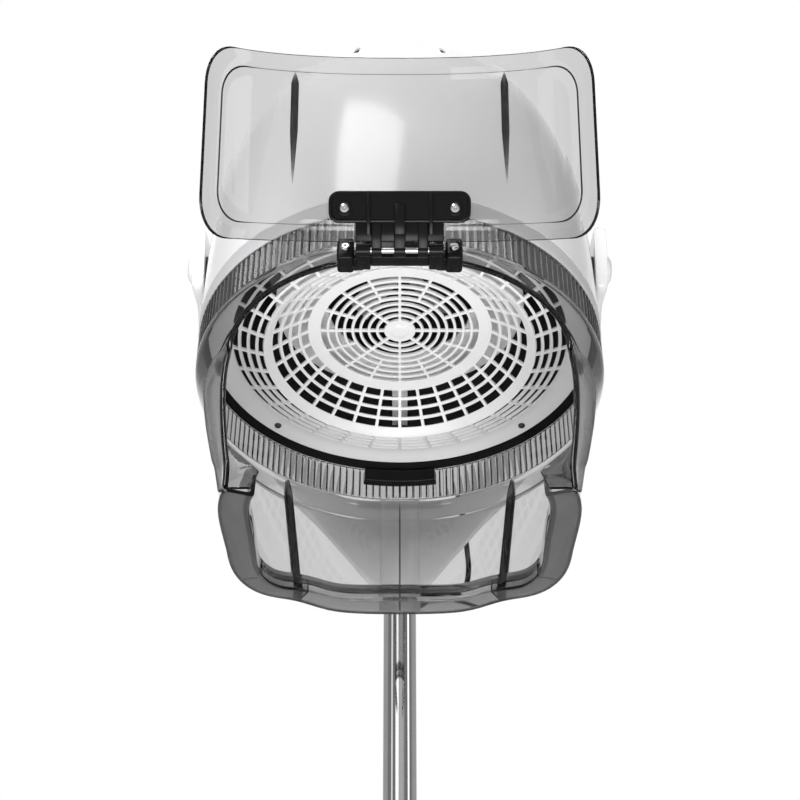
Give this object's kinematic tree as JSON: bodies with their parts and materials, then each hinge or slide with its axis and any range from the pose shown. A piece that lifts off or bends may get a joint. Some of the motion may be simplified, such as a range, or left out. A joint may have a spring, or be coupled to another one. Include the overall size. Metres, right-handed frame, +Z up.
{
  "type": "standing hood dryer",
  "caption": "Floor-standing salon hair dryer: tilting hood with clear bonnet and hinged visor on a yoke, telescopic mast and castor star base.",
  "frame": {"origin": "on the floor, centred below the dryer's whole box", "axes": "+Z up, the hood's open front faces -Y, +X to the right seen from the front"},
  "size_m": [0.6076, 0.8487, 1.5541],
  "materials": {
    "white_plastic": "smooth moulded",
    "pale_plastic": "satin moulded",
    "smoke_clear": "clear smoke tint",
    "black_plastic": "semi-gloss",
    "black_rubber": "matte",
    "chrome": "polished",
    "steel": "plain",
    "cast_aluminium": "polished cast",
    "orange_lens": "clear lens"
  },
  "bodies": {
    "base": {"star_base": "cast_aluminium", "lower_tube": "chrome", "guide_bush": "black_plastic", "clamp_collar": "black_plastic", "mains_inlet": "black_plastic"},
    "clamp_knob": {"height_knob": "black_plastic"},
    "mast": {"upper_tube": "chrome", "mast_foot": "black_plastic"},
    "yoke": {"yoke": "white_plastic", "cord_grommet": "black_rubber", "pivot_cap_left": "white_plastic", "pivot_cap_right": "white_plastic", "hood_cord": "black_rubber"},
    "hood": {"cap_shell": "white_plastic", "trim_ring": "pale_plastic", "ribbed_collar": "smoke_clear", "bonnet": "smoke_clear", "rim_seal": "black_rubber", "air_grille": "white_plastic", "rear_catch": "black_plastic", "motor": "steel", "motor_plate": "steel", "heater_frame": "steel", "heater_element": "steel", "thermal_cutout": "black_plastic", "control_panel": "pale_plastic", "pilot_lamp": "orange_lens", "cord_gland": "black_rubber", "hinge_base": "black_plastic", "hinge_base_screw_left": "steel", "hinge_base_screw_right": "steel", "grille_screw_left": "steel", "grille_screw_right": "steel", "pivot_bolt_left": "steel", "pivot_bolt_right": "steel", "friction_washer_left": "black_plastic", "friction_washer_right": "black_plastic"},
    "fan": {"fan": "pale_plastic"},
    "visor": {"visor": "smoke_clear", "hinge_leaf": "black_plastic", "hinge_leaf_screw_left": "steel", "hinge_leaf_screw_right": "steel", "hinge_pin": "steel"},
    "timer": {"timer_knob": "black_plastic"},
    "heat": {"heat_knob": "black_plastic"},
    "rocker": {"power_rocker": "black_plastic"},
    "castor_1": {"castor_body_1": "black_plastic"},
    "wheels_1": {"castor_wheels_1": "black_rubber"},
    "castor_2": {"castor_body_2": "black_plastic"},
    "wheels_2": {"castor_wheels_2": "black_rubber"},
    "castor_3": {"castor_body_3": "black_plastic"},
    "wheels_3": {"castor_wheels_3": "black_rubber"},
    "castor_4": {"castor_body_4": "black_plastic"},
    "wheels_4": {"castor_wheels_4": "black_rubber"},
    "castor_5": {"castor_body_5": "black_plastic"},
    "wheels_5": {"castor_wheels_5": "black_rubber"}
  },
  "joints": [
    {"name": "height_slide", "type": "slide", "parent": "base", "child": "mast", "axis": [0, 0, 1], "range_m": [0, 0.25]},
    {"name": "clamp_knob_turn", "type": "hinge", "parent": "base", "child": "clamp_knob", "pos_m": [0, 0.1518, 0.662], "axis": [1, 0, 0], "range_deg": [0, 360]},
    {"name": "yoke_swivel", "type": "hinge", "parent": "mast", "child": "yoke", "pos_m": [0, 0.1518, 1.08], "axis": [0, 0, 1], "range_deg": [-90, 90]},
    {"name": "hood_tilt", "type": "hinge", "parent": "yoke", "child": "hood", "pos_m": [0, -0.0639, 1.32557], "axis": [1, 0, 0], "range_deg": [-42, 16], "deforming": ["hood_cord"]},
    {"name": "visor_hinge", "type": "hinge", "parent": "hood", "child": "visor", "pos_m": [0, -0.31042, 1.22376], "axis": [1, 0, 0], "range_deg": [0, 139]},
    {"name": "fan_spin", "type": "hinge", "parent": "hood", "child": "fan", "pos_m": [0, -0.06112, 1.33413], "axis": [0, 0.309, 0.9511], "continuous": true},
    {"name": "timer_knob_turn", "type": "hinge", "parent": "hood", "child": "timer", "pos_m": [-0.032, 0.00323, 1.53217], "axis": [0, 0.309, 0.9511], "range_deg": [-300, 0]},
    {"name": "heat_knob_turn", "type": "hinge", "parent": "hood", "child": "heat", "pos_m": [0.032, 0.00323, 1.53217], "axis": [0, 0.309, 0.9511], "range_deg": [-270, 0]},
    {"name": "power_rocker_tip", "type": "hinge", "parent": "hood", "child": "rocker", "pos_m": [0, -0.03224, 1.53949], "axis": [1, 0, 0], "range_deg": [-7, 7]},
    {"name": "castor_swivel_1", "type": "hinge", "parent": "base", "child": "castor_1", "pos_m": [0, -0.1382, 0.07], "axis": [0, 0, 1], "continuous": true},
    {"name": "castor_roll_1", "type": "hinge", "parent": "castor_1", "child": "wheels_1", "pos_m": [0, -0.1202, 0.025], "axis": [-1, 0, 0], "continuous": true},
    {"name": "castor_swivel_2", "type": "hinge", "parent": "base", "child": "castor_2", "pos_m": [0.27581, 0.06219, 0.07], "axis": [0, 0, 1], "continuous": true},
    {"name": "castor_roll_2", "type": "hinge", "parent": "castor_2", "child": "wheels_2", "pos_m": [0.27831, 0.08001, 0.025], "axis": [-0.9903, 0.1392, 0], "continuous": true},
    {"name": "castor_swivel_3", "type": "hinge", "parent": "base", "child": "castor_3", "pos_m": [0.17046, 0.38641, 0.07], "axis": [0, 0, 1], "continuous": true},
    {"name": "castor_roll_3", "type": "hinge", "parent": "castor_3", "child": "wheels_3", "pos_m": [0.15428, 0.39431, 0.025], "axis": [-0.4384, -0.8988, 0], "continuous": true},
    {"name": "castor_swivel_4", "type": "hinge", "parent": "base", "child": "castor_4", "pos_m": [-0.17046, 0.38641, 0.07], "axis": [0, 0, 1], "continuous": true},
    {"name": "castor_roll_4", "type": "hinge", "parent": "castor_4", "child": "wheels_4", "pos_m": [-0.15428, 0.39431, 0.025], "axis": [-0.4384, 0.8988, 0], "continuous": true},
    {"name": "castor_swivel_5", "type": "hinge", "parent": "base", "child": "castor_5", "pos_m": [-0.27581, 0.06219, 0.07], "axis": [0, 0, 1], "continuous": true},
    {"name": "castor_roll_5", "type": "hinge", "parent": "castor_5", "child": "wheels_5", "pos_m": [-0.27831, 0.08001, 0.025], "axis": [-0.9903, -0.1392, 0], "continuous": true}
  ]
}
